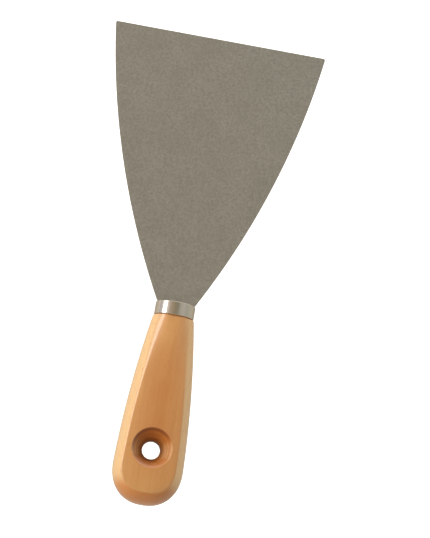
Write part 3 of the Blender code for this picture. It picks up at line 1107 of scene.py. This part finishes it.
def make_handle(beech):
    """The handle with its spigot, its tang slot and its countersunk hang hole."""
    half_width = RING_WIDTH / 2 - RING_WALL - FIT_GAP
    half_depth = half_width * RING_DEPTH / RING_WIDTH
    front = handle_ring(0.0)
    front_face = front * np.array((1 - FRONT_BREAK_WIDE, 1.0, 1 - FRONT_BREAK_DEEP))
    loops = [
        oval_ring(SPIGOT_Y, half_width - FRONT_BREAK, half_depth - FRONT_BREAK),
        oval_ring(SPIGOT_Y - FRONT_BREAK, half_width, half_depth),
        oval_ring(WOOD_FRONT_Y, half_width, half_depth),
        front_face,
        front - np.array((0.0, FRONT_BREAK, 0.0)),
    ]
    loops += [handle_ring(t) for t in SIDE_TURNS[1:]]
    count = len(front)
    points = np.concatenate(loops)
    faces = [tuple(range(count))]
    for row in range(len(loops) - 1):
        for i in range(count):
            a, b = row * count + i, row * count + (i + 1) % count
            faces.append((a, b, b + count, a + count))
    handle = show("beech_handle", closed_mesh("beech_handle", points, faces))
    slot_x = TANG_WIDTH / 2 + SLOT_ROOM
    slot_z = ROOT_THICKNESS + 2 * SLOT_ROOM
    slot_end = TANG_END_Y - SLOT_ROOM
    slot = tapered_block("slot", (SPIGOT_Y + CUT_START, slot_x), (slot_end, slot_x), slot_z)
    combine(handle, slot, "DIFFERENCE")
    combine(handle, hole_cutter(), "DIFFERENCE")
    finish_surface(handle, beech, sharp_degrees=28)
    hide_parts("handle")
    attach(handle, "handle")
    return handle


# ---------------------------------------------------------------- studio


def make_table():
    """The table top, far enough below the knife that the bent blade stays clear of it."""
    bm = bmesh.new()
    bmesh.ops.create_grid(bm, x_segments=1, y_segments=1, size=TABLE_SIZE)
    mesh = bpy.data.meshes.new("table_top")
    bm.to_mesh(mesh)
    bm.free()
    table = show("table_top", mesh)
    table.location.z = TABLE_Z
    mesh.materials.append(pale_table_top())


def make_lamp(name, over, along, distance, size, power, mirrored):
    """A soft box, that many degrees over from straight up and then along towards the edge."""
    lamp = bpy.data.lights.new(name, "AREA")
    lamp.shape = "RECTANGLE"
    lamp.size, lamp.size_y = size
    lamp.energy = power
    lamp.color = shade(LAMP_COLOR)[:3]
    holder = bpy.data.objects.new(name, lamp)
    bpy.context.scene.collection.objects.link(holder)
    a, b = math.radians(over), math.radians(along)
    back = Vector((math.sin(a) * math.cos(b), math.sin(b), math.cos(a) * math.cos(b)))
    holder.location = back * distance
    holder.rotation_mode = "QUATERNION"
    holder.rotation_quaternion = back.to_track_quat("Z", "Y")
    holder.visible_camera = False
    holder.visible_glossy = mirrored
    return holder


def flag_lamp(lamp, lit):
    """Flag a lamp so that it lights only these pieces."""
    chosen = bpy.data.collections.new(f"{lamp.name}_lights")
    for piece in lit:
        chosen.objects.link(piece)
    lamp.light_linking.receiver_collection = chosen


def make_room():
    """The room round the table: bands from side to side, and a wall at each end of the knife."""
    world = bpy.data.worlds.new("studio_room")
    bpy.context.scene.world = world
    world.use_nodes = True
    tree = world.node_tree
    away = add(
        tree, "ShaderNodeSeparateXYZ", {0: add(tree, "ShaderNodeTexCoord").outputs["Generated"]}
    )
    over = add(
        tree, "ShaderNodeMath", {0: away.outputs["X"], 1: away.outputs["Z"]}, operation="ARCTAN2"
    ).outputs[0]
    share = add(
        tree, "ShaderNodeMapRange", {"Value": over, "From Min": -math.pi, "From Max": math.pi}
    ).outputs[0]
    bands = add(tree, "ShaderNodeValToRGB", {0: share})
    ramp = bands.color_ramp
    ramp.elements.remove(ramp.elements[1])
    ramp.elements[0].color = shade(ROOM_WALLS[0][1])
    for degrees, color in ROOM_WALLS[1:]:
        ramp.elements.new(degrees / 360 + 0.5).color = shade(color)
    # Each end wall fades in over the bands
    far = add(
        tree, "ShaderNodeMapRange", {"Value": away.outputs["Y"], "From Min": 0.35, "From Max": 0.8}
    ).outputs[0]
    near = add(
        tree,
        "ShaderNodeMapRange",
        {"Value": away.outputs["Y"], "From Min": -0.2, "From Max": -0.6},
    ).outputs[0]
    with_far = add(
        tree,
        "ShaderNodeMix",
        {0: far, MIX_A: bands.outputs[0], MIX_B: shade(FAR_WALL)},
        data_type="RGBA",
    ).outputs[MIX_OUT]
    room = add(
        tree,
        "ShaderNodeMix",
        {0: near, MIX_A: with_far, MIX_B: shade(NEAR_WALL)},
        data_type="RGBA",
    ).outputs[MIX_OUT]
    # The camera sees white paper behind the object, as on the table
    seen = add(tree, "ShaderNodeLightPath").outputs["Is Camera Ray"]
    backdrop = add(
        tree,
        "ShaderNodeMix",
        {0: seen, MIX_A: room, MIX_B: shade("#ffffff")},
        data_type="RGBA",
    ).outputs[MIX_OUT]
    tree.links.new(backdrop, tree.nodes["Background"].inputs["Color"])


def make_camera():
    """A long lens almost straight above, pitched, rolled and turned a little."""
    camera = bpy.data.cameras.new("camera")
    camera.lens = CAMERA_LENS
    camera.clip_start, camera.clip_end = CAMERA_NEAR, CAMERA_FAR
    holder = bpy.data.objects.new("camera", camera)
    bpy.context.scene.collection.objects.link(holder)
    back = Vector((-math.tan(CAMERA_ROLL), -math.tan(CAMERA_PITCH), 1.0)).normalized()
    right = Vector((0, 1, 0)).cross(back).normalized()
    up = back.cross(right)
    c, s = math.cos(CAMERA_TURN), math.sin(CAMERA_TURN)
    axes = (right * c + up * s, up * c - right * s, back)
    turn = Matrix([[axis[row] for axis in axes] for row in range(3)])
    place = CAMERA_TARGET + back * CAMERA_DISTANCE
    holder.matrix_world = Matrix.Translation(place) @ turn.to_4x4()
    bpy.context.scene.camera = holder


def main():
    """Set up the studio, then put the knife in it, and the table under it."""
    bpy.context.scene.view_settings.view_transform = "Standard"
    make_camera()
    make_room()
    lamps = [make_lamp(*lamp) for lamp in LAMPS]
    make_blade(ground_spring_steel())
    ferrule = make_ferrule(bright_nickel_plate())
    handle = make_handle(varnished_beech())
    # The window's glare would turn the blade as white as the table behind it
    flag_lamp(lamps[0], (ferrule, handle))
    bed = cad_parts["tang_adhesive"]
    bed.data.materials.clear()
    bed.data.materials.append(set_epoxy())
    make_table()


main()
